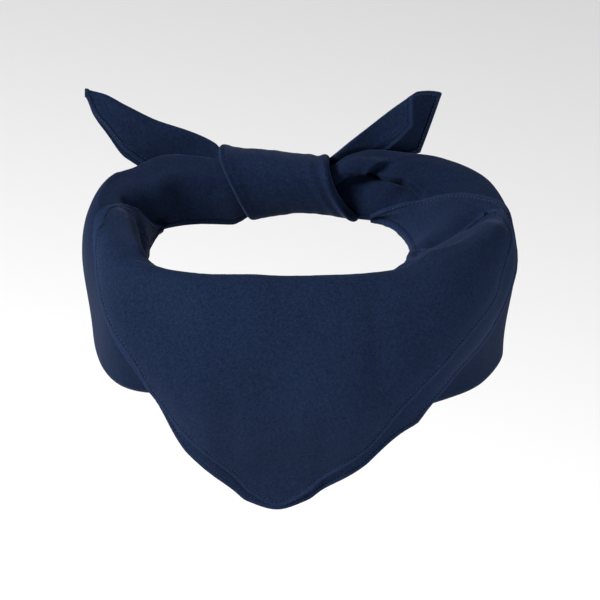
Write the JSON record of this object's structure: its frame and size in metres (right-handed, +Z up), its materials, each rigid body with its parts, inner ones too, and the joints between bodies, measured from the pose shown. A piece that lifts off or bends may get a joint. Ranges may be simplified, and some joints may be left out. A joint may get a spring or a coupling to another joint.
{
  "type": "neckerchief",
  "caption": "Navy square neckerchief folded to a triangle, worn with the point in front and tied behind in a knot with free ends.",
  "frame": {"origin": "middle of the neck opening, at the height of the cloth's fold in front", "axes": "+Z up along the neck, -Y towards the hanging point, +X towards the viewer's right"},
  "size_m": [0.2418, 0.1717, 0.1897],
  "materials": {
    "cloth": "matt navy plain weave",
    "cloth_shade": "matt navy plain weave"
  },
  "bodies": {
    "root": {"band_left": "cloth_shade", "band_right": "cloth_shade", "bib_under": "cloth", "bib_outer": "cloth", "knot_wrap": "cloth", "tail_left": "cloth", "tail_right": "cloth"}
  },
  "joints": []
}
